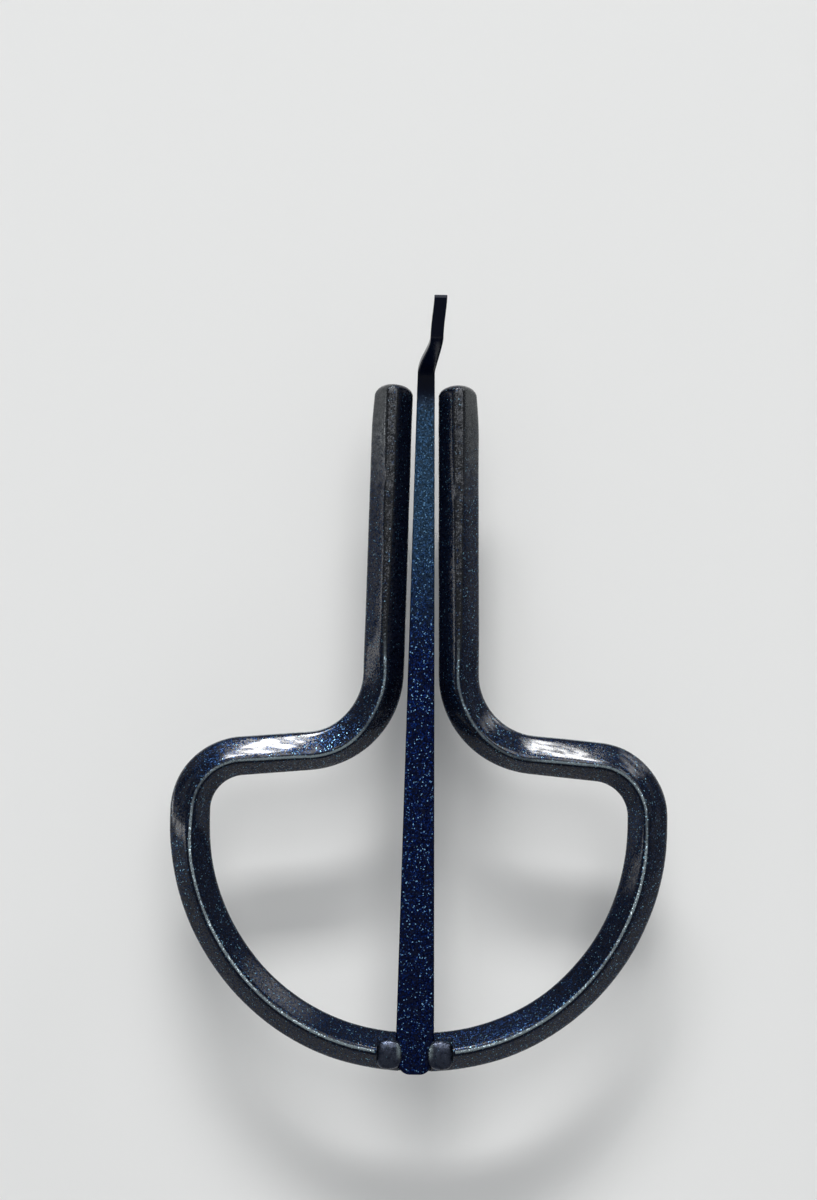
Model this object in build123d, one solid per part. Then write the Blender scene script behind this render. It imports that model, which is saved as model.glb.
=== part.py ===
from build123d import *
from math import radians, sqrt, tan
import os

# Jaw harp. Millimetres. The harp lies on its back: +Y runs from the bow to the arm tips,
# +Z points out of the front, and the trigger rises along +Z.
# The origin is on the back ridge, under the middle of the bow, where the reed is clamped.

# Square bar of the frame, turned on its edge
bar_side = 3.25
bar_corner_radius = 0.45

# Frame, along the middle of the bar
frame_length = 70.2
bow_radius = 23.2
corner_radius = 5.6
shoulder_slope = 5.0
neck_height = 7.8
neck_radius = 8.2

# Arms: domed ends, and front and back ridges worn flat towards the tips
tip_dome_depth = 1.0
arm_wear = 0.34

# Reed: a strip that narrows and thins from the clamp to the arm tips
reed_root_width = 3.82
reed_tip_width = 1.8
reed_root_thickness = 0.8
reed_tip_thickness = 0.55
reed_slit = 0.36
tail_width = 2.9
tail_overhang = 0.15
tail_corner_radius = 0.9

# Trigger: the reed's end, bent up and then outwards
trigger_setback = 1.25
trigger_bend_radius = 3.0
trigger_rise_angle = 75
trigger_rise = 6.0
trigger_hook_radius = 2.0
trigger_hook_angle = 40
trigger_hook_length = 4.0
trigger_tip_width = 1.3
trigger_sway = 0.95
trigger_lean = 1.3

# Staking: the ridge beside the notch, hammered down and pushed over the reed
stake_reach = 3.8
stake_floor = 0.3
lug_width = 2.2
lug_length = 2.8
lug_height = 0.85
lug_overlap = 0.55
lug_offset = -0.35
lug_edge_radius = 0.5

# Clearances
notch_clearance = 0.03
hinge_clearance = 0.03
seat_setback = 0.25

# Sizes that follow from the ones above
bar_half = bar_side / sqrt(2) - (sqrt(2) - 1) * bar_corner_radius
bar_height = 2 * bar_half
reed_level = bar_half
tip_y = frame_length - bar_half
hinge_y = bar_half
tail_y = -bar_half - tail_overhang
bend_y = tip_y - trigger_setback
neck_y = bow_radius + neck_height
reed_top = reed_level + reed_root_thickness / 2
notch_floor = reed_level - reed_root_thickness / 2
tip_dome_radius = (bar_half**2 + tip_dome_depth**2) / (2 * tip_dome_depth)
cutter_size = 2 * frame_length


def reed_half_width(y):
    taper = (reed_root_width - reed_tip_width) / (tip_y - hinge_y)
    return (reed_root_width - taper * (y - hinge_y)) / 2


def arm_x(y):
    return reed_half_width(y) + reed_slit + bar_half


# Frame

def bar_path():
    neck_x = arm_x(neck_y)
    corner_y = neck_y - (bow_radius - neck_x) * tan(radians(shoulder_slope))
    right = FilletPolyline(
        (bow_radius, bow_radius),
        (bow_radius, corner_y),
        (neck_x, neck_y),
        (arm_x(tip_y), tip_y),
        radius=(corner_radius, neck_radius),
    )
    left = mirror(right, about=Plane.YZ)
    bow = CenterArc((0, bow_radius), bow_radius, 180, 180)
    return Pos(0, 0, reed_level) * Curve([*left.edges(), *bow.edges(), *right.edges()])


def bent_bar():
    path = Wire(bar_path().edges())
    section_plane = Plane(path @ 0, x_dir=(0, 0, 1), z_dir=path % 0)
    section = RectangleRounded(bar_side, bar_side, bar_corner_radius)
    return sweep(section_plane * Rot(0, 0, 45) * section, path=path)


def tip_trim(side):
    # What lies outside a dome on the arm's end
    direction = Vector(side * (arm_x(tip_y) - arm_x(neck_y)), tip_y - neck_y, 0).normalized()
    tip = Vector(side * arm_x(tip_y), tip_y, reed_level)
    dome = Plane(tip - direction * tip_dome_radius, z_dir=direction)
    sleeve = Cylinder(2 * bar_half, 2 * tip_dome_radius, align=(Align.CENTER, Align.CENTER, Align.MIN))
    return dome * (sleeve - Sphere(tip_dome_radius))


def wear_cut():
    # A plane that meets the front ridge at the neck and sinks into it towards the tips
    start_y = neck_y + neck_radius
    slope = arm_wear / (tip_y - start_y)
    face = Plane((0, start_y, bar_height), x_dir=(1, 0, 0), z_dir=(0, slope, 1))
    block = Box(cutter_size, cutter_size, bar_height, align=(Align.CENTER, Align.CENTER, Align.MIN))
    return face * block


def tail_outline(end_y, clearance):
    # As wide as the tongue down to the middle of the bar, and narrower from there to the tail's end
    end_half = reed_half_width(end_y) + clearance
    middle_half = reed_half_width(0) + clearance
    tail_half = tail_width / 2 + clearance
    return make_face(
        Polyline(
            (-end_half, end_y),
            (-middle_half, 0),
            (-tail_half, tail_y),
            (tail_half, tail_y),
            (middle_half, 0),
            (end_half, end_y),
            close=True,
        )
    )


def notch_cut():
    outline = tail_outline(bar_height, notch_clearance)
    return Pos(0, 0, notch_floor) * extrude(outline, amount=bar_height)


def staked_lug(side):
    inner_x = reed_half_width(lug_offset) - lug_overlap
    block = Box(lug_width, lug_length, lug_height, align=(Align.MIN, Align.CENTER, Align.MIN))
    upper_edges = block.edges().filter_by(Axis.Z) + block.edges().group_by(Axis.Z)[-1]
    lug = Pos(inner_x, lug_offset, reed_top) * fillet(upper_edges, lug_edge_radius)
    return lug if side > 0 else mirror(lug, about=Plane.YZ)


def make_frame():
    front_wear = wear_cut()
    back_wear = mirror(front_wear, about=Plane.XY.offset(reed_level))
    hammered = Pos(0, 0, reed_top + stake_floor) * Box(
        2 * stake_reach, 2 * bar_height, bar_height, align=(Align.CENTER, Align.CENTER, Align.MIN)
    )
    frame = bent_bar() - front_wear - back_wear - tip_trim(1) - tip_trim(-1)
    frame = frame - hammered - notch_cut()
    return frame + staked_lug(1) + staked_lug(-1)


# Reed: the tail is clamped in the notch, and the tongue swings about the notch's inner edge

def side_plane_extrude(side_view):
    return extrude(Plane.YZ * side_view, amount=reed_root_width, both=True)


def make_reed_tail():
    outline = tail_outline(hinge_y - seat_setback, 0)
    outline = fillet(outline.vertices().group_by(Axis.Y)[0], tail_corner_radius)
    strip = Pos(0, 0, notch_floor) * extrude(outline, amount=reed_root_thickness)
    seat = Pos(hinge_y, reed_level) * Circle(reed_root_thickness / 2 + hinge_clearance)
    return strip - side_plane_extrude(seat)


def trigger_path():
    bend = JernArc((bend_y, reed_level), (1, 0), trigger_bend_radius, trigger_rise_angle)
    rise = Line(bend @ 1, bend @ 1 + (bend % 1) * trigger_rise)
    hook = JernArc(rise @ 1, rise % 1, trigger_hook_radius, trigger_hook_angle - trigger_rise_angle)
    end = Line(hook @ 1, hook @ 1 + (hook % 1) * trigger_hook_length)
    return bend, rise, hook, end


def make_reed():
    root = reed_root_thickness / 2
    tip = reed_tip_thickness / 2
    tongue_side = make_face(
        Polyline(
            (hinge_y, reed_level + root),
            (bend_y, reed_level + tip),
            (bend_y, reed_level - tip),
            (hinge_y, reed_level - root),
        )
        + ThreePointArc(
            (hinge_y, reed_level - root),
            (hinge_y - root, reed_level),
            (hinge_y, reed_level + root),
        )
    )
    bend, rise, hook, end = trigger_path()
    path = Curve([*bend.edges(), *rise.edges(), *hook.edges(), *end.edges()])
    side_view = tongue_side + trace(path, reed_tip_thickness)
    start_y = hinge_y - reed_root_thickness
    rise_y = (rise @ 0).X
    hook_y = (hook @ 0).X
    end_y = (end @ 1).X + reed_tip_thickness
    tip_half = trigger_tip_width / 2
    outline = make_face(
        Polyline(
            (-reed_half_width(start_y), start_y),
            (reed_half_width(start_y), start_y),
            (reed_half_width(rise_y), rise_y),
            (trigger_sway + tip_half, hook_y),
            (trigger_lean + tip_half, end_y),
            (trigger_lean - tip_half, end_y),
            (trigger_sway - tip_half, hook_y),
            (-reed_half_width(rise_y), rise_y),
            close=True,
        )
    )
    return side_plane_extrude(side_view) & extrude(outline, amount=frame_length)


nodes = {
    "frame": make_frame(),
    "reed_tail": make_reed_tail(),
    "reed": make_reed(),
}

os.makedirs("parts", exist_ok=True)
for name, shape in nodes.items():
    solid = shape.solids()[0]
    export_step(solid, f"parts/{name}.step")
    print(name, len(shape.solids()), "solid", round(solid.volume, 2), "mm3", solid.bounding_box().size)
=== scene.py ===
import bpy
import bmesh
from math import copysign, cos, exp, pi, radians, sqrt
from mathutils import Matrix, Vector, noise


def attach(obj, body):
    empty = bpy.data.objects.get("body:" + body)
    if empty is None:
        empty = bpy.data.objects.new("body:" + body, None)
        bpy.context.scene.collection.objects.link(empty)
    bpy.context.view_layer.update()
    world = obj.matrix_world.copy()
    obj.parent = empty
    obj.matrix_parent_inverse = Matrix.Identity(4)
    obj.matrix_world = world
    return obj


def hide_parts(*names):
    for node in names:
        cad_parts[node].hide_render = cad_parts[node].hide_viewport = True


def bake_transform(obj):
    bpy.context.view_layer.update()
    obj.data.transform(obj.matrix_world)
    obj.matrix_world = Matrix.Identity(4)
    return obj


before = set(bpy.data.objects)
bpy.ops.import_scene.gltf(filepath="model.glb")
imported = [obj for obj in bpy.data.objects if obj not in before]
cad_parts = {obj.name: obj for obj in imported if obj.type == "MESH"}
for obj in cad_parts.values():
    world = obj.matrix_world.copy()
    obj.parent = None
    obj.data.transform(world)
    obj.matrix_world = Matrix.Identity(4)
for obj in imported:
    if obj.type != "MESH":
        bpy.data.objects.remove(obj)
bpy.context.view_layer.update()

mm = 0.001
mergeDistance = 0.002 * mm     # points closer than this become one
scene = bpy.context.scene
scene.view_settings.view_transform = "Standard"

# The harp lies on its back: +Y runs from the bow to the arm tips, +Z towards the player's finger
barHalf = 2.1117 * mm          # half the height of the square bar, which lies on its edge
reedLevel = barHalf            # the reed's middle


def stopsAt(stops, at):        # a smooth value from (length, value) stops
    value = stops[0][1]
    for low, high in zip(stops, stops[1:]):
        part = min(1, max(0, (at - low[0]) / (high[0] - low[0])))
        value += (high[1] - low[1]) * part * part * (3 - 2 * part)
    return value


def edgesOf(geom):
    return [item for item in geom if isinstance(item, bmesh.types.BMEdge)]


def vertsOf(edges):            # each vertex once, in the order of the edges
    return list(dict.fromkeys(vert for edge in edges for vert in edge.verts))


def roundSection(bm, radius, segments, facetsOver, cuts):
    # rounds the corners, keeps only the outline, and divides the facets that are longer than facetsOver
    bmesh.ops.bevel(
        bm, geom=bm.verts[:], offset=radius * mm, offset_type="OFFSET", affect="VERTICES",
        segments=segments, profile=0.5, material=-1,
    )
    bmesh.ops.delete(bm, geom=bm.faces[:], context="FACES_ONLY")
    facets = [edge for edge in bm.edges if edge.calc_length() > facetsOver * mm]
    bmesh.ops.subdivide_edges(bm, edges=facets, cuts=cuts)


def bendAlong(bm, ring, place, heading, axis, moves, length):
    # carries a ring of edges along: a bend is (radius, degrees, steps), a run is (length, steps)
    rings = []
    for kind, *sizes, steps in moves:
        for step in range(steps):
            angle = 0
            centre = place.copy()
            advance = Vector()
            if kind == "bend":
                radius, degrees = sizes
                angle = copysign(radians(degrees) / steps, radius)
                centre += axis.cross(heading) * radius * mm
                stepLength = angle * radius
            else:
                stepLength = sizes[0] / steps
                advance = heading * stepLength * mm
            made = bmesh.ops.spin(
                bm, geom=ring, cent=centre, axis=axis, angle=angle, dvec=advance, steps=1,
            )
            ring = edgesOf(made["geom_last"])
            turn = Matrix.Rotation(angle, 3, axis)
            place = centre + turn @ (place - centre) + advance
            heading = turn @ heading
            length += stepLength
            rings.append((vertsOf(ring), place, heading, length))
    return ring, rings


def pieceFrom(bm, name, sharpAngle):
    bmesh.ops.remove_doubles(bm, verts=bm.verts, dist=mergeDistance)
    bmesh.ops.recalc_face_normals(bm, faces=bm.faces)
    mesh = bpy.data.meshes.new(name)
    bm.to_mesh(mesh)
    bm.free()
    mesh.shade_smooth()
    mesh.set_sharp_from_angle(angle=radians(sharpAngle))
    piece = bpy.data.objects.new(name, mesh)
    scene.collection.objects.link(piece)
    return piece


def applyModifiers(piece):
    depsgraph = bpy.context.evaluated_depsgraph_get()
    mesh = bpy.data.meshes.new_from_object(piece.evaluated_get(depsgraph))
    piece.modifiers.clear()
    piece.data = mesh


# Camera, square on to the front and a little below it
photoView = {
    "aim": (-1.422, 46.028, 0.967),      # mm
    "distance": 250.47,
    "tilt": 5.0,                         # degrees, towards the bow
    "roll": -0.991,
    "lens": 73.2,
    "sensor": 36.0,
    "nearest": 10.0,                     # mm, what is nearer isn't drawn
}


def makeCamera(view):
    data = bpy.data.cameras.new("photoCamera")
    data.lens = view["lens"]
    data.sensor_width = view["sensor"]
    data.clip_start = view["nearest"] * mm
    camera = bpy.data.objects.new("photoCamera", data)
    aim = Matrix.Translation(Vector(view["aim"]) * mm)
    roll = Matrix.Rotation(-radians(view["roll"]), 4, "Z")
    tilt = Matrix.Rotation(radians(view["tilt"]), 4, "X")
    stepBack = Matrix.Translation((0, 0, view["distance"] * mm))
    camera.matrix_world = aim @ roll @ tilt @ stepBack
    scene.collection.objects.link(camera)
    scene.camera = camera


makeCamera(photoView)
print("camera set")


# Frame: a square bar on its edge, bent from the middle of the bow out to each arm tip
harpBar = {
    "side": 3.25,
    "edgeRadius": 0.58,
    "edgeSegments": 8,
    "facetCuts": 7,
    "crown": 0.018,
    "sharpAngle": 40,
    # what the bending machine does on each half: bend (radius, degrees, steps) or run (length, steps)
    "bends": (
        ("bend", 23.2, 90.0, 72),
        ("run", 0.983, 2),
        ("bend", 5.6, 85.0, 26),
        ("run", 6.803, 10),
        ("bend", -8.2, 84.123, 28),
        ("run", 28.693, 36),
    ),
    # dome on the arm's end: (step along the arm, share of the bar's size)
    "dome": ((0.3, 0.965), (0.28, 0.87), (0.2, 0.73), (0.13, 0.56), (0.09, 0.34)),
    "domeRadius": 1.9,
    "domeRound": 0.35,         # 0 leaves the dome square, 1 makes it round
    # the bar's size and its roll, along its length from the middle of the bow
    "swell": ((0, 0.94), (12, 0.95), (30, 0.98), (37, 0.98), (44, 0.97), (52, 0.97), (62, 1.0), (95, 1.0)),
    "rollRight": ((0, -3), (14, -3), (30, 2), (42, 11), (49, 14), (54, 17), (62, 4), (70, 0)),
    "rollLeft": ((0, -3), (14, -3), (32, 0), (40, 12), (45, 14), (50, 16), (55, 20), (62, 6), (70, 0)),
    # front and back ridges, worn flat from the neck to the tips
    "wearStart": 39.2,
    "wearSlope": 0.01177,
    # the bow is a little flat under the clamp
    "flatten": 0.3,
    "flattenReach": 9.0,
    "flattenBelow": 10.0,      # mm along Y, further on the bar keeps its place
    # the arms' outer sides draw in towards the tips
    "tipTaperStart": 62.5,
    "tipTaperEnd": 70.2,
    "tipTaper": 0.55,
    "armMiddle": 3.4,          # mm from the harp's middle
    # unevenness from the forge
    "forgeDepth": 0.035,
    "forgeSize": 5.0,
    "forgeSeed": 3,            # another seed moves the unevenness, and with it the highlights
}


def barSection(bm, bar):
    corner = bar["side"] / sqrt(2) * mm
    bmesh.ops.create_circle(bm, cap_ends=True, segments=4, radius=corner)
    roundSection(bm, bar["edgeRadius"], bar["edgeSegments"], bar["edgeRadius"], bar["facetCuts"])
    barPlace = bm.verts.layers.float_vector.new("barPlace")
    for vert in bm.verts:      # the facets are a little crowned
        across = abs(abs(vert.co.x) - abs(vert.co.y)) / corner
        vert.co *= 1 + bar["crown"] * cos(across * pi / 2)
        vert[barPlace] = (0, vert.co.x / mm, vert.co.y / mm)     # along and across the bar, for the finish
    bmesh.ops.rotate(bm, verts=bm.verts, matrix=Matrix.Rotation(pi / 2, 3, "Y"))
    bmesh.ops.translate(bm, verts=bm.verts, vec=(0, 0, reedLevel))
    return bm.edges[:]


def bendHalf(bm, ring, bar, side):
    place = Vector((0, 0, reedLevel))
    heading = Vector((side, 0, 0))
    axis = Vector((0, 0, side))
    ring, rings = bendAlong(bm, ring, place, heading, axis, bar["bends"], 0)
    place, heading, length = rings[-1][1:]
    size = 1
    for advance, share in bar["dome"]:
        made = bmesh.ops.extrude_edge_only(bm, edges=ring)
        ring = edgesOf(made["geom"])
        verts = vertsOf(ring)
        bmesh.ops.translate(bm, verts=verts, vec=heading * advance * mm)
        place = place + heading * advance * mm
        bmesh.ops.scale(bm, verts=verts, vec=[share / size] * 3, space=Matrix.Translation(-place))
        size = share
        length += advance
        for vert in verts:     # square at the arm, round at the end
            out = vert.co - place
            ball = out.normalized() * bar["domeRadius"] * share * mm
            vert.co = place + out.lerp(ball, bar["domeRound"])
        rings.append((verts, place, heading, length))
    bmesh.ops.contextual_create(bm, geom=ring)
    return rings


def shapeRings(bm, rings, bar, rolls, side):
    barPlace = bm.verts.layers.float_vector["barPlace"]
    for verts, place, heading, length in rings:
        size = stopsAt(bar["swell"], length)
        roll = Matrix.Rotation(-side * radians(stopsAt(rolls, length)), 3, heading)
        lift = Vector((0, 0, (size - 1) * barHalf))
        for vert in verts:
            vert.co = place + roll @ (vert.co - place) * size + lift
            vert[barPlace] = (side * length, *vert[barPlace][1:])


def wearBar(bm, bar):
    noise.seed_set(bar["forgeSeed"])
    taperLength = bar["tipTaperEnd"] - bar["tipTaperStart"]
    for vert in bm.verts:
        uneven = noise.noise_vector(vert.co / (bar["forgeSize"] * mm)) * bar["forgeDepth"] * mm
        vert.co += uneven
        if vert.co.y < bar["flattenBelow"] * mm:
            vert.co.y += bar["flatten"] * mm * exp(-(vert.co.x / (bar["flattenReach"] * mm)) ** 2)
        drawn = max(0, vert.co.y / mm - bar["tipTaperStart"]) / taperLength
        outside = max(0, abs(vert.co.x) / mm - bar["armMiddle"]) / barHalf * mm
        vert.co.x -= copysign(bar["tipTaper"] * drawn * drawn * outside * mm, vert.co.x)
        worn = max(0, (vert.co.y - bar["wearStart"] * mm) * bar["wearSlope"])
        vert.co.z = max(worn, vert.co.z)
        if vert.co.y > bar["wearStart"] * mm:
            vert.co.z = min(2 * barHalf - worn, vert.co.z)


# Staking: the ridge hammered down beside the notch and pushed over the reed
staking = {
    "reach": 3.82,
    "floor": 2.95,
    "cutReach": 4.0,           # both cuts go past the bar, along Y and upwards
    "cutTop": 9.0,
    "notchHalf": 1.95,         # the notch narrows with the reed's tail, from the middle of the bar
    "notchEnd": 1.13,
    "notchFloor": 1.712,
    "lugInner": 1.3,
    "lugOuter": 3.92,
    "lugFrontY": -1.4,
    "lugBackY": 1.6,
    "lugFoot": 1.6,
    "lugTop": 3.4,
    "lugCuts": 9,
    "lugSmooth": 60,
    "lugPress": 0.6,           # below 1, the hammer leaves their tops flatter
}


def blockBetween(low, high):
    bm = bmesh.new()
    bmesh.ops.create_cube(bm, size=1)
    low = Vector(low) * mm
    high = Vector(high) * mm
    bmesh.ops.scale(bm, verts=bm.verts, vec=high - low)
    bmesh.ops.translate(bm, verts=bm.verts, vec=(low + high) / 2)
    return bm


def blockAbove(stake, half, floor):      # lies across the bar, over the floor of a cut
    reach = stake["cutReach"]
    return blockBetween((-half, -reach, floor), (half, reach, stake["cutTop"]))


def makeNotch(stake, sharpAngle):
    bm = blockAbove(stake, stake["notchHalf"], stake["notchFloor"])
    geom = bm.verts[:] + bm.edges[:] + bm.faces[:]
    bmesh.ops.bisect_plane(bm, geom=geom, plane_co=(0, 0, 0), plane_no=(0, 1, 0))
    end = [vert for vert in bm.verts if vert.co.y < -stake["cutReach"] / 2 * mm]
    bmesh.ops.scale(bm, verts=end, vec=(stake["notchEnd"] / stake["notchHalf"], 1, 1))
    return pieceFrom(bm, "notch", sharpAngle)


def makeLug(stake, side, sharpAngle):
    inner = side * stake["lugInner"]
    outer = side * stake["lugOuter"]
    low = Vector((min(inner, outer), stake["lugFrontY"], stake["lugFoot"]))
    high = Vector((max(inner, outer), stake["lugBackY"], stake["lugTop"]))
    bm = blockBetween(low, high)
    bmesh.ops.subdivide_edges(bm, edges=bm.edges, cuts=stake["lugCuts"], use_grid_fill=True)
    for blow in range(stake["lugSmooth"]):
        bmesh.ops.smooth_vert(
            bm, verts=bm.verts, factor=0.5, use_axis_x=True, use_axis_y=True, use_axis_z=True,
        )
    growth = []                # brings the smoothed block back to its size
    for axis in range(3):
        reach = [vert.co[axis] for vert in bm.verts]
        growth.append((high[axis] - low[axis]) * mm / (max(reach) - min(reach)))
    middle = (low + high) / 2 * mm
    bmesh.ops.scale(bm, verts=bm.verts, vec=growth, space=Matrix.Translation(-middle))
    half = (high.z - low.z) / 2 * mm
    for vert in bm.verts:
        part = (vert.co.z - middle.z) / half
        vert.co.z = middle.z + half * copysign(abs(part) ** stake["lugPress"], part)
    return pieceFrom(bm, "lug", sharpAngle)


def stakeFrame(piece, stake, sharpAngle):
    hammered = pieceFrom(blockAbove(stake, stake["reach"], stake["floor"]), "hammered", sharpAngle)
    tools = [(hammered, "DIFFERENCE"), (makeNotch(stake, sharpAngle), "DIFFERENCE")]
    tools += [(makeLug(stake, side, sharpAngle), "UNION") for side in (-1, 1)]
    for tool, operation in tools:
        cut = piece.modifiers.new("stake", "BOOLEAN")
        cut.object = tool
        cut.operation = operation
        cut.solver = "EXACT"
    applyModifiers(piece)
    for tool, operation in tools:
        bpy.data.objects.remove(tool)
    piece.data.set_sharp_from_angle(angle=radians(sharpAngle))


def makeFrame(bar, stake):
    bm = bmesh.new()
    ring = barSection(bm, bar)
    start = [(vertsOf(ring), Vector((0, 0, reedLevel)), Vector((1, 0, 0)), 0)]
    right = bendHalf(bm, ring, bar, 1)
    left = bendHalf(bm, ring, bar, -1)
    shapeRings(bm, start + right, bar, bar["rollRight"], 1)
    shapeRings(bm, left, bar, bar["rollLeft"], -1)
    wearBar(bm, bar)
    piece = pieceFrom(bm, "harpFrame", bar["sharpAngle"])
    stakeFrame(piece, stake, bar["sharpAngle"])
    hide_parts("frame")
    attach(piece, "frame")
    return piece


harpFrame = makeFrame(harpBar, staking)
print("frame made:", len(harpFrame.data.polygons), "faces")


# Reed: one strip from its tail under the lugs to the trigger's tip
harpReed = {
    "rootWidth": 3.82,
    "tipWidth": 1.8,
    "tailWidth": 2.9,
    "rootThickness": 0.8,
    "tipThickness": 0.55,
    "edgeRadius": 0.12,
    "edgeSegments": 3,
    "faceCuts": 7,
    "sharpAngle": 50,
    "rootY": 2.1117,
    "tipY": 68.088,
    "tailY": -1.9,
    "tailCorner": 0.9,
    "tailSteps": (0.02, 0.05, 0.1, 0.14, 0.17, 0.2, 0.22),     # mm, finest at the tail's end
    "tongueSteps": 90,
    "bendY": 66.838,
    # trigger: bend (radius, degrees, steps) or run (length, steps)
    "trigger": (("bend", 3.0, 75, 16), ("run", 6.0, 12), ("bend", -2.0, 35, 8), ("run", 4.0, 8)),
    # how wide the trigger is, and how far it leans aside, by its place along Y
    "triggerWidth": ((66.838, 1.838), (69.736, 1.75), (71.29, 1.3), (75.0, 1.28)),
    "triggerLean": ((69.3, 0), (71.6, 0.98), (75.4, 1.28)),
    # where the reed starts to bend when it is plucked, and where it is straight again
    "bendStarts": 2.1117,
    "bendEnds": 34.0,
}
reedAxis = Vector((1, 0, 0))   # the reed bends about it


def reedWidth(reed, y):
    if y > reed["bendY"]:
        return stopsAt(reed["triggerWidth"], y)
    taper = (reed["rootWidth"] - reed["tipWidth"]) / (reed["tipY"] - reed["rootY"])
    width = reed["rootWidth"] - taper * (max(0, y) - reed["rootY"])
    if y < 0:
        width += (reed["tailWidth"] - width) * y / reed["tailY"]
    fromTail = max(0, y - reed["tailY"])
    corner = reed["tailCorner"]
    if fromTail < corner:
        width -= 2 * (corner - sqrt(corner ** 2 - (corner - fromTail) ** 2))
    return width


def bendReed(bm, reed):
    bmesh.ops.create_grid(bm, x_segments=1, y_segments=1, size=0.5)
    bmesh.ops.scale(bm, verts=bm.verts, vec=(reed["rootWidth"] * mm, reed["rootThickness"] * mm, 1))
    roundSection(bm, reed["edgeRadius"], reed["edgeSegments"], reed["rootThickness"], reed["faceCuts"])
    bmesh.ops.rotate(bm, verts=bm.verts, matrix=Matrix.Rotation(pi / 2, 3, "X"))
    place = Vector((0, reed["tailY"] * mm, reedLevel))
    bmesh.ops.translate(bm, verts=bm.verts, vec=place)
    heading = Vector((0, 1, 0))
    ring = bm.edges[:]
    start = [(vertsOf(ring), place, heading, reed["tailY"])]
    bmesh.ops.contextual_create(bm, geom=ring)

    tongue = reed["bendY"] - reed["tailY"] - sum(reed["tailSteps"])
    moves = [("run", step, 1) for step in reed["tailSteps"]]
    moves += [("run", tongue, reed["tongueSteps"]), *reed["trigger"]]
    ring, rings = bendAlong(bm, ring, place, heading, reedAxis, moves, reed["tailY"])
    bmesh.ops.contextual_create(bm, geom=ring)
    return start + rings


def taperReed(bm, rings, reed):
    tipThin = reed["tipThickness"] / reed["rootThickness"]
    for verts, place, heading, length in rings:
        y = place.y / mm
        part = min(1, max(0, (length - reed["rootY"]) / (reed["bendY"] - reed["rootY"])))
        thin = Matrix.Scale(1 + (tipThin - 1) * part, 4, reedAxis.cross(heading))
        narrow = Matrix.Scale(reedWidth(reed, y) / reed["rootWidth"], 4, reedAxis)
        bmesh.ops.transform(bm, matrix=thin @ narrow, space=Matrix.Translation(-place), verts=verts)
        bmesh.ops.translate(bm, verts=verts, vec=(stopsAt(reed["triggerLean"], y) * mm, 0, 0))


def makeReed(reed):
    bm = bmesh.new()
    rings = bendReed(bm, reed)
    taperReed(bm, rings, reed)
    piece = pieceFrom(bm, "harpReed", reed["sharpAngle"])
    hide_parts("reed_tail", "reed")
    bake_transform(piece)
    return piece


reedPiece = makeReed(harpReed)
print("reed made:", len(reedPiece.data.polygons), "faces")


# Finishes
class Wire:                    # a node's output that can be used in plain arithmetic
    def __init__(self, finish, socket):
        self.finish = finish
        self.socket = socket

    def math(self, operation, *others):
        return self.finish.maths(operation, self, *others)

    def __add__(self, other):
        return self.math("ADD", other)

    def __radd__(self, other):
        return self.math("ADD", other)

    def __sub__(self, other):
        return self.math("SUBTRACT", other)

    def __rsub__(self, other):
        return self.finish.maths("SUBTRACT", other, self)

    def __mul__(self, other):
        return self.math("MULTIPLY", other)

    def __rmul__(self, other):
        return self.math("MULTIPLY", other)

    def mask(self, start, end):          # 0 up to start, 1 from end on
        values = {"Value": self, "From Min": start, "From Max": end, "To Min": 0.0, "To Max": 1.0}
        return self.finish.node("ShaderNodeMapRange", {"interpolation_type": "SMOOTHSTEP"}, values)

    def axis(self, name):
        return self.finish.node("ShaderNodeSeparateXYZ", {}, {"Vector": self}, name)

    def vector(self, operation, *others):
        values = dict(enumerate((self, *others)))
        return self.finish.node("ShaderNodeVectorMath", {"operation": operation}, values)

    def waves(self, scale, detail):      # noise at this place
        values = {"Vector": self, "Scale": scale, "Detail": detail}
        return self.finish.node("ShaderNodeTexNoise", {}, values, "Fac")


class Finish:
    def __init__(self, name):
        self.material = bpy.data.materials.new(name)
        self.material.use_nodes = True
        self.tree = self.material.node_tree
        self.shader = self.tree.nodes["Principled BSDF"]

    def feed(self, node, values):
        for key, value in values.items():
            if isinstance(value, Wire):
                self.tree.links.new(value.socket, node.inputs[key])
            else:
                node.inputs[key].default_value = value

    def maths(self, operation, *values):
        return self.node("ShaderNodeMath", {"operation": operation}, dict(enumerate(values)))

    def node(self, kind, settings, values, out=0):
        made = self.tree.nodes.new(kind)
        for key, value in settings.items():
            if key == "stops":
                ramp = made.color_ramp.elements
                while len(ramp) < len(value):
                    ramp.new(0.5)
                for element, (position, colour) in zip(ramp, value):
                    element.position = position
                    element.color = colour
            else:
                setattr(made, key, value)
        self.feed(made, values)
        return Wire(self, made.outputs[out])

    def mixed(self, share, low, high):
        return self.node("ShaderNodeMix", {"data_type": "RGBA"}, {"Factor": share, 6: low, 7: high}, 2)

    def placeInMm(self):
        place = self.node("ShaderNodeTexCoord", {}, {}, "Object")
        return place.vector("MULTIPLY", (1 / mm, 1 / mm, 1 / mm))


# Gloss lacquer over metal flake: dark between the flakes, and each flake leans its own way
flakeLacquer = {
    "flakeSize": 0.1,          # mm
    "flakeEdge": 0.02,
    "flakeStops": (0.5, 0.86, 0.93, 1.0),      # dark, middle to middle, bright
    "clouds": 0.42,            # waves a millimetre, with more flakes or fewer
    "cloudiness": 0.3,
    "grain": 0.04,             # how far the lacquer, and each flake in it, leans
    "flakeLean": 0.4,
    "roughness": 0.16,
    "flakeRoughness": 0.3,
    "coatRoughness": 0.06,
    "dents": 0.5,              # shallow hammer dents, in waves a millimetre
}


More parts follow.
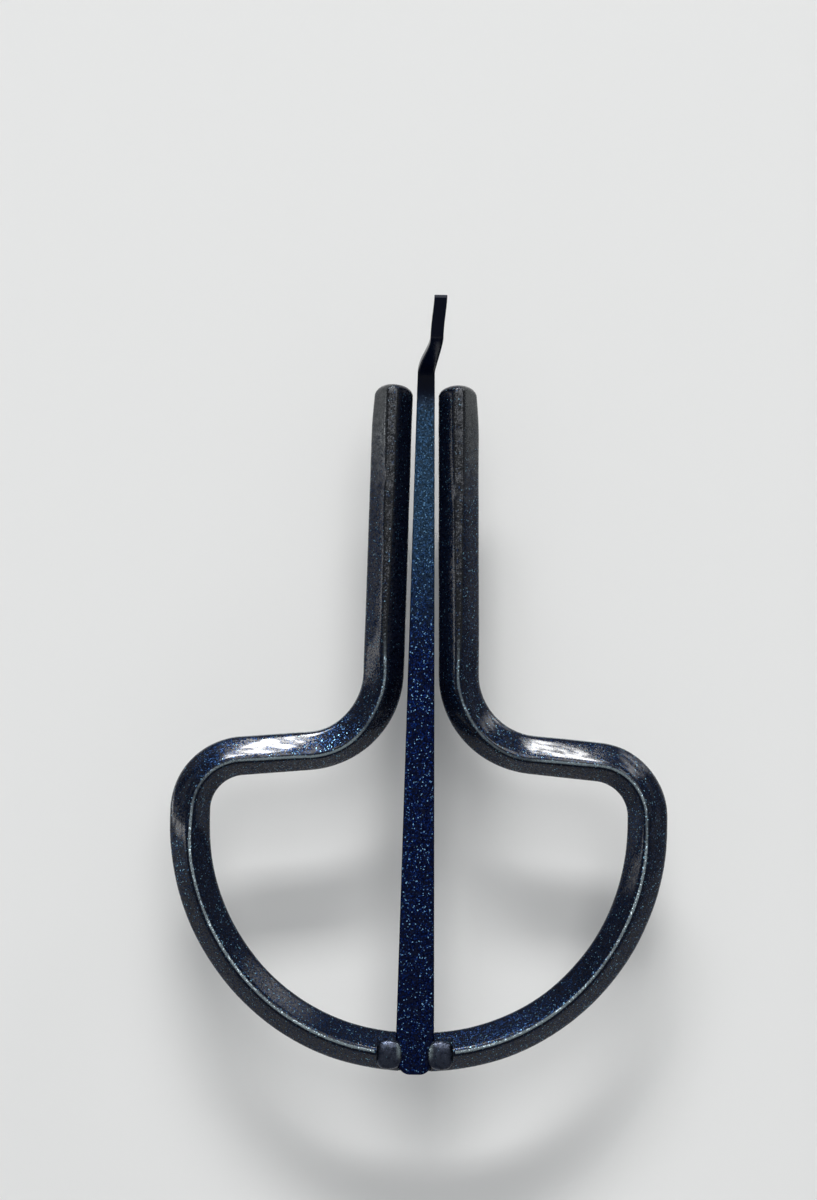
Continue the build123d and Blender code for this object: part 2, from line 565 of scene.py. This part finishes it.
def makeFlakes(finish, paint, place, left):    # left is the share of flake that is kept
    cellValues = {"Vector": place, "Scale": 1 / paint["flakeSize"]}
    cells = finish.node("ShaderNodeTexVoronoi", {"feature": "F1"}, cellValues, "Color")
    chance = finish.node("ShaderNodeSeparateColor", {}, {"Color": cells}, "Red")
    bright = finish.node("ShaderNodeSeparateColor", {}, {"Color": cells}, "Green")
    clouds = (place.waves(paint["clouds"], 3.0) - 0.5) * paint["cloudiness"]
    bare = 1 - paint["flakeShare"]
    flake = (chance + clouds).mask(bare - paint["flakeEdge"], bare + paint["flakeEdge"]) * left
    colours = [paint[name] for name in ("flakeDark", "flakeMiddle", "flakeMiddle", "flakeBright")]
    stops = list(zip(paint["flakeStops"], colours))
    flakeColour = finish.node("ShaderNodeValToRGB", {"stops": stops}, {"Fac": bright})
    colour = finish.mixed(flake, paint["pigment"], flakeColour)
    rough = paint["roughness"] + flake * (paint["flakeRoughness"] - paint["roughness"])
    leanBy = paint["grain"] + flake * (paint["flakeLean"] - paint["grain"])
    leanValues = {0: cells.vector("SUBTRACT", (0.5, 0.5, 0.5)), "Scale": leanBy}
    lean = finish.node("ShaderNodeVectorMath", {"operation": "SCALE"}, leanValues)
    return flake, colour, rough, lean


def makeMarks(paint, place, markPlace):        # drawing marks and dents, as a height in mm
    marks = markPlace.vector("MULTIPLY", paint["marks"]).waves(1.0, 3.0)
    dents = place.waves(paint["dents"], 1.0)
    return (marks - 0.5) * paint["markDepth"] + (dents - 0.5) * paint["dentDepth"]


def layLacquer(finish, paint, colour, metal, rough, lean, marks, coat):
    facing = finish.node("ShaderNodeNewGeometry", {}, {}, "Normal")
    facing = facing.vector("ADD", lean).vector("NORMALIZE")
    bumpValues = {"Height": marks, "Distance": mm, "Strength": 1.0, "Normal": facing}
    finish.feed(finish.shader, {
        "Base Color": colour,
        "Metallic": metal,
        "Roughness": rough,
        "Normal": finish.node("ShaderNodeBump", {}, bumpValues),
        "Specular IOR Level": paint["gloss"],
        "Coat Weight": coat,
        "Coat Roughness": paint["coatRoughness"],
    })
    return finish.material


# Frame's lacquer, its wear, and its painted highlights and sheen; a pair is where something starts and
# where it is full
frameLacquer = {
    **flakeLacquer,
    "pigment": (0.003, 0.004, 0.01, 1),
    "flakeDark": (0.003, 0.007, 0.022, 1),
    "flakeMiddle": (0.01, 0.028, 0.075, 1),
    "flakeBright": (0.16, 0.32, 0.42, 1),
    "flakeShare": 0.5,
    "gloss": 0.18,
    "coat": 0.14,
    "marks": (0.3, 3.2, 3.2),  # drawing marks, in waves a millimetre along and across the bar
    "markDepth": 0.01,         # mm
    "dentDepth": 0.06,
    "scuffs": 1.8,             # what makes all the wear ragged, in waves a millimetre
    # on the shoulders the lacquer's gloss is streaky, aslant along the bar
    "streakCoat": 0.75,
    "streaks": (0.5, 1.6, 1.6),                # waves a millimetre along and across the bar
    "streakSlant": 1.2,
    "streakEdge": (0.42, 0.58),
    "streakFrom": (32, 40),    # mm along the bar, where the streaks start and where they end
    "streakTo": (57, 66),
    "streakInside": (-0.3, 0.1),               # mm across the bar, the bow's inner facets have none
    # lugs, hammered over the reed: their ends, back and foot in mm, and how much flake they have lost
    "lugEnd": (3.7, 3.9),
    "lugBack": (2.0, 3.0),
    "lugFoot": (2.9, 3.1),
    "lugLoss": 0.6,
    # the lugs' tops: hammered metal, painted lighter grey also as a painted sheen
    "lugRubAndSheen": (0.055, 0.065, 0.095, 1),
    "lugScuffs": (0.3, 0.6),
    "lugRoughness": 0.12,
    # their inner edges, rubbed bright and painted as a highlight: mm from the middle, and along Y
    "lipWidth": (1.45, 1.95),
    "lipFrom": (-0.5, 0.5),
    "lipScuffs": (0.3, 0.5),
    # flats worn on the arms' front and back ridges: mm from where the wear starts, and their heights
    "flatRub": (0.038, 0.04, 0.044, 1),
    "flatFrom": (-2.0, 4.0),
    "flatFront": (4.10, 4.20),
    "flatBack": (-0.12, -0.02),
    "flatScuffs": (0.25, 0.5),
    # ridges, painted light as a painted highlight line with a rubbed look: mm across the bar, in patches,
    # most near the clamp
    "edgeRubAndHighlight": (0.55, 0.66, 0.7, 1),
    "ridgeWidth": (1.9, 2.1),
    "ridgeScuffs": 0.1,
    "ridgeLeast": 0.2,
    "ridgeMore": 0.75,
    "ridgePolish": 0.3,
    "ridgeEnd": (64.0, 67.0),  # mm along Y
    "patches": 0.09,           # waves a millimetre
    "patchEdge": (0.42, 0.6),
    "nearClampTo": (3.0, 13.0),     # mm along Y
    # arms' outer sides, painted lighter towards the tips as a painted sheen with ragged edges: mm along Y,
    # and from the middle
    "tipSheenColour": (0.075, 0.08, 0.085, 1),
    "tipFrom": (54.0, 66.0),
    "tipScuffs": 14.0,
    "tipOutside": (3.3, 3.7),
}


# the ridges' light line is a painted highlight, in patches and strongest near the clamp
def ridgeHighlight(paint, place, acrossRidge, scuffs):
    along = place.axis("Y")
    thin = (acrossRidge.math("ABSOLUTE") + scuffs * paint["ridgeScuffs"]).mask(*paint["ridgeWidth"])
    patches = place.waves(paint["patches"], 2.0).mask(*paint["patchEdge"])
    nearClamp = 1 - along.mask(*paint["nearClampTo"])
    thin = thin * (paint["ridgeLeast"] + paint["ridgeMore"] * patches.math("MAXIMUM", nearClamp))
    return thin * (1 - along.mask(*paint["ridgeEnd"]))


def flatWear(paint, bar, along, height):
    worn = along - bar["wearStart"]
    depth = worn * bar["wearSlope"]
    front = (height + depth).mask(*paint["flatFront"])
    back = (depth - height).mask(*paint["flatBack"])
    return (front + back) * worn.mask(*paint["flatFrom"])


def streakyCoat(finish, paint, barPlace, acrossRidge):
    slant = finish.node("ShaderNodeCombineXYZ", {}, {"X": acrossRidge * paint["streakSlant"]})
    streaks = barPlace.vector("ADD", slant).vector("MULTIPLY", paint["streaks"]).waves(1.0, 4.0)
    length = barPlace.axis("X").math("ABSOLUTE")
    shoulders = length.mask(*paint["streakFrom"]) * (1 - length.mask(*paint["streakTo"]))
    shoulders = shoulders * (1 - barPlace.axis("Z").mask(*paint["streakInside"]))
    return paint["coat"] + paint["streakCoat"] * shoulders * streaks.mask(*paint["streakEdge"])


def makeFrameLacquer(paint, bar):
    finish = Finish("frameLacquer")
    place = finish.placeInMm()
    outside = place.axis("X").math("ABSOLUTE")
    along = place.axis("Y")
    height = place.axis("Z")
    scuffs = place.waves(paint["scuffs"], 4.0)
    barPlace = finish.node("ShaderNodeAttribute", {"attribute_name": "barPlace"}, {}, "Vector")
    acrossRidge = barPlace.axis("Y").math("ABSOLUTE") - barPlace.axis("Z").math("ABSOLUTE")

    lugs = (1 - outside.mask(*paint["lugEnd"])) * (1 - along.mask(*paint["lugBack"]))
    lugs = lugs * height.mask(*paint["lugFoot"])
    flats = flatWear(paint, bar, along, height)
    rub = flats * scuffs.mask(*paint["flatScuffs"])
    # thin: the painted highlight line along the ridges
    thin = ridgeHighlight(paint, place, acrossRidge, scuffs) * (1 - flats) * (1 - lugs)
    # the arms' outer sides towards the tips: painted sheen
    tipSheen = (along + (scuffs - 0.5) * paint["tipScuffs"]).mask(*paint["tipFrom"])
    tipSheen = tipSheen * outside.mask(*paint["tipOutside"]) * (1 - rub)
    # hammered: the lugs' tops, rubbed metal and painted sheen
    hammered = lugs * scuffs.mask(*paint["lugScuffs"])
    # lip: the lugs' inner edges, rubbed and painted bright, a painted highlight as well
    lip = lugs * (1 - outside.mask(*paint["lipWidth"])) * along.mask(*paint["lipFrom"])
    lip = lip * scuffs.mask(*paint["lipScuffs"])

    metal, colour, rough, lean = makeFlakes(finish, paint, place, 1 - lugs * paint["lugLoss"])
    # wear, and the painted highlights and sheen, mixed over the lacquer
    wearAndSheen = ((rub, "flatRub"), (thin, "edgeRubAndHighlight"), (tipSheen, "tipSheenColour"), (hammered, "lugRubAndSheen"), (lip, "edgeRubAndHighlight"))
    for share, markColour in wearAndSheen:
        colour = finish.mixed(share, colour, paint[markColour])
        metal = metal + share
    metal = metal.math("MINIMUM", 1.0)
    rough = rough * (1 - thin * paint["ridgePolish"]) + hammered * paint["lugRoughness"]
    marks = makeMarks(paint, place, barPlace) * (1 - thin)
    coat = streakyCoat(finish, paint, barPlace, acrossRidge)
    return layLacquer(finish, paint, colour, metal, rough, lean, marks, coat)


# Reed's lacquer, bluer, and lighter towards the tips
reedLacquer = {
    **flakeLacquer,
    "pigment": (0.001, 0.003, 0.015, 1),
    "flakeDark": (0.001, 0.003, 0.028, 1),
    "flakeMiddle": (0.002, 0.01, 0.06, 1),
    "flakeBright": (0.075, 0.16, 0.25, 1),
    "flakeShare": 0.6,
    "gloss": 0.16,
    "coat": 0.1,
    "marks": (3.0, 0.2, 3.0),  # waves a millimetre along X, Y and Z
    "markDepth": 0.004,        # mm
    "dentDepth": 0.006,
    "upper": (0.025, 0.061, 0.1, 1),
    "upperFrom": (38.0, 58.0),                 # mm along Y, where this colour starts and where it is full
    "upperShare": 0.55,
    "flakelessFrom": (65.0, 68.0),  # the trigger has no flake, so it is darker
}


def makeReedLacquer(paint):
    finish = Finish("reedLacquer")
    place = finish.placeInMm()
    along = place.axis("Y")
    left = 1 - along.mask(*paint["flakelessFrom"])
    flake, colour, rough, lean = makeFlakes(finish, paint, place, left)
    upper = along.mask(*paint["upperFrom"]) * left * paint["upperShare"]
    colour = finish.mixed(upper, colour, paint["upper"])
    marks = makeMarks(paint, place, place)
    return layLacquer(finish, paint, colour, flake, rough, lean, marks, paint["coat"])


harpFrame.data.materials.clear()
harpFrame.data.materials.append(makeFrameLacquer(frameLacquer, harpBar))
reedPiece.data.materials.append(makeReedLacquer(reedLacquer))
print("finishes made")


# Studio: a plain pale floor and soft light from the arm tips' side
studio = {
    "floorColour": (0.78, 0.78, 0.77, 1),
    "floorRoughness": 0.9,
    "floorGloss": 0.1,
    "floorSize": 10.0,
    "floorLevel": -7.6,        # mm, low enough for the reed to swing through the frame
    "worldColour": (0.92, 0.96, 1.0, 1),
    "worldStrength": 0.26,
    # lamps: (name, place, aim, size, spread in degrees, power)
    "lamps": (
        ("keyLamp", (-0.12, 1.3, 0.75), (0, 0.03, 0), (1.6, 0.17), 45, 2.4),
        ("topLamp", (0.25, 1.85, 3.0), (0, 0.03, 0), (2.4, 2.4), 180, 52.0),
        ("fillLamp", (0.95, 1.2, 0.34), (0, 0.03, 0), (0.8, 0.5), 30, 0.16),
        ("sideLamp", (-1.4, 0.1, 0.12), (0, 0.03, 0), (0.9, 0.16), 30, 0.063),
    ),
}


def makeFloor(room):
    bm = bmesh.new()
    bmesh.ops.create_grid(bm, x_segments=1, y_segments=1, size=room["floorSize"] / 2)
    bmesh.ops.translate(bm, verts=bm.verts, vec=(0, 0, room["floorLevel"] * mm))
    mesh = bpy.data.meshes.new("floor")
    bm.to_mesh(mesh)
    bm.free()
    floor = bpy.data.objects.new("floor", mesh)
    scene.collection.objects.link(floor)
    finish = Finish("floorPaper")
    finish.feed(finish.shader, {
        "Base Color": room["floorColour"],
        "Roughness": room["floorRoughness"],
        "Specular IOR Level": room["floorGloss"],
    })
    mesh.materials.append(finish.material)


def makeLight(room):
    world = bpy.data.worlds.new("studioWorld")
    world.use_nodes = True
    back = world.node_tree.nodes["Background"]
    back.inputs["Color"].default_value = room["worldColour"]
    back.inputs["Strength"].default_value = room["worldStrength"]
    scene.world = world
    for name, place, aim, size, spread, power in room["lamps"]:
        lamp = bpy.data.lights.new(name, "AREA")
        lamp.shape = "RECTANGLE"
        lamp.size = size[0]
        lamp.size_y = size[1]
        lamp.spread = radians(spread)
        lamp.energy = power
        holder = bpy.data.objects.new(name, lamp)
        holder.location = place
        holder.rotation_euler = (Vector(aim) - Vector(place)).to_track_quat("-Z", "Y").to_euler()
        scene.collection.objects.link(holder)


makeFloor(studio)
makeLight(studio)
print("studio set")

bpy.context.view_layer.update()
